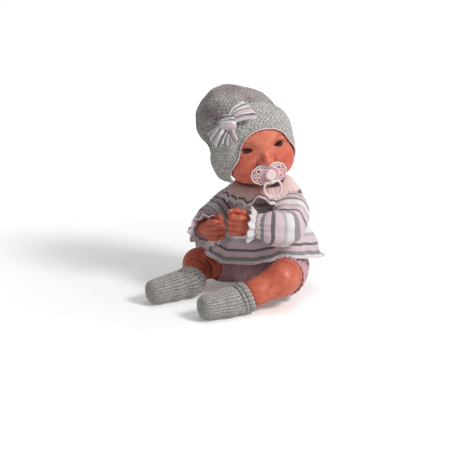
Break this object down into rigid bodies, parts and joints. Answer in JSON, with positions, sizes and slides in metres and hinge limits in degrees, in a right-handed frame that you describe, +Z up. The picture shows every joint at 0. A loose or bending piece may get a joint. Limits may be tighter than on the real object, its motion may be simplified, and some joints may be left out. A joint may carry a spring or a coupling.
{
  "type": "baby doll",
  "caption": "Sitting soft-bodied baby doll with vinyl head, arms and legs, a voice module, a dummy with a ring, and knitted hat, tunic, bloomers and socks.",
  "frame": {"origin": "middle of the flat underside of the seat, on the surface that the doll sits on", "axes": "+Z up, -Y the way the doll's body faces, +X the doll's left"},
  "size_m": [0.1699, 0.2132, 0.2658],
  "materials": {
    "vinyl": "matte vinyl, warm skin colour",
    "grey_knit": "moss-stitch knit, grey melange",
    "pale_knit": "moss-stitch knit, pale grey melange",
    "sock_knit": "ribbed knit, grey",
    "stripe": "striped jersey, pink, white and greys",
    "pink": "gathered jersey, pale pink",
    "white_frill": "gathered jersey edge, white",
    "mauve": "ribbed knit, mauve pink",
    "calico": "woven cotton",
    "filling": "polyester fibre, loose",
    "case": "moulded, fine texture",
    "dark": "moulded, dark",
    "board": "lacquered circuit board",
    "steel": "plated",
    "brass": "button cells' jackets",
    "cable": "soft cable",
    "rubber": "soft rubber",
    "teat": "translucent pink",
    "eye": "glossy, dark brown iris",
    "button": "polished"
  },
  "bodies": {
    "torso": {"body_cloth": "calico", "body_stuffing": "filling", "voice_case_front": "case", "voice_case_back": "case", "battery_door": "case", "battery_door_screw": "steel", "case_screws": "steel", "batteries": "brass", "battery_contacts": "steel", "circuit_board": "board", "speaker": "dark", "belly_spring": "steel", "neck_cable": "cable", "neck_base": "case", "neck_tie": "case", "shoulder_washers": "case", "hip_washers": "case", "tunic": "stripe", "collar": "pink", "tunic_buttons": "button", "bloomers": "mauve"},
    "belly_push": {"belly_button": "case"},
    "switch_slider": {"power_switch": "dark"},
    "neck_swivel": {"neck_yoke": "case", "neck_pin": "steel"},
    "neck_plate": {"neck_disc": "case"},
    "head_group": {"head": "vinyl", "left_eye": "eye", "right_eye": "eye", "mouth_socket": "rubber", "dummy_sensor": "board", "head_cable": "cable", "hat_crown": "grey_knit", "hat_brim": "pale_knit", "bow_loops": "stripe", "bow_knot": "stripe", "bow_tails": "stripe"},
    "dummy": {"dummy_shield": "teat", "dummy_knob": "teat", "dummy_teat": "teat", "dummy_magnet": "steel"},
    "dummy_handle": {"dummy_ring": "teat"},
    "left_arm_group": {"left_shoulder_disc": "case", "left_arm": "vinyl", "left_sleeve": "stripe", "left_cuff": "white_frill"},
    "right_arm_group": {"right_shoulder_disc": "case", "right_arm": "vinyl", "right_sleeve": "stripe", "right_cuff": "white_frill"},
    "left_leg_group": {"left_hip_disc": "case", "left_leg": "vinyl", "left_bloomer_leg": "mauve", "left_sock": "sock_knit"},
    "right_leg_group": {"right_hip_disc": "case", "right_leg": "vinyl", "right_bloomer_leg": "mauve", "right_sock": "sock_knit"}
  },
  "joints": [
    {"name": "head_tilt", "type": "hinge", "parent": "torso", "child": "neck_swivel", "pos_m": [-0.006, -0.005, 0.119], "axis": [0.788, -0.6157, 0], "range_deg": [-18, 6]},
    {"name": "head_nod", "type": "hinge", "parent": "neck_swivel", "child": "neck_plate", "pos_m": [-0.00703, -0.00706, 0.13179], "axis": [0.6063, 0.776, 0.1736], "range_deg": [-12, 2]},
    {"name": "head_turn", "type": "hinge", "parent": "neck_plate", "child": "head_group", "pos_m": [-0.00783, -0.00864, 0.14164], "axis": [-0.0793, -0.1582, 0.9842], "range_deg": [-120, 25]},
    {"name": "dummy_pull", "type": "slide", "parent": "head_group", "child": "dummy", "axis": [0.7913, -0.6105, -0.0344], "range_m": [0, 0.05]},
    {"name": "ring_swing", "type": "hinge", "parent": "dummy", "child": "dummy_handle", "pos_m": [0.04326, -0.0512, 0.15346], "axis": [-0.6063, -0.776, -0.1736], "range_deg": [-8, 150]},
    {"name": "left_shoulder", "type": "hinge", "parent": "torso", "child": "left_arm_group", "pos_m": [0.045, 0, 0.1], "axis": [-0.866, 0.5, 0], "range_deg": [-9, 14]},
    {"name": "right_shoulder", "type": "hinge", "parent": "torso", "child": "right_arm_group", "pos_m": [-0.045, 0, 0.1], "axis": [-0.866, -0.5, 0], "range_deg": [-15, 26]},
    {"name": "left_hip", "type": "hinge", "parent": "torso", "child": "left_leg_group", "pos_m": [0.036, -0.008, 0.031], "axis": [-1, 0, 0], "range_deg": [-70, 5]},
    {"name": "right_hip", "type": "hinge", "parent": "torso", "child": "right_leg_group", "pos_m": [-0.036, -0.008, 0.031], "axis": [-1, 0, 0], "range_deg": [-70, 5]},
    {"name": "belly_press", "type": "slide", "parent": "torso", "child": "belly_push", "axis": [0, 1, 0], "range_m": [0, 0.0025], "stiffness_N_per_m": 600, "springref_m": -0.001, "deforming": ["belly_spring"]},
    {"name": "power_slide", "type": "slide", "parent": "torso", "child": "switch_slider", "axis": [1, 0, 0], "range_m": [0, 0.004]}
  ]
}
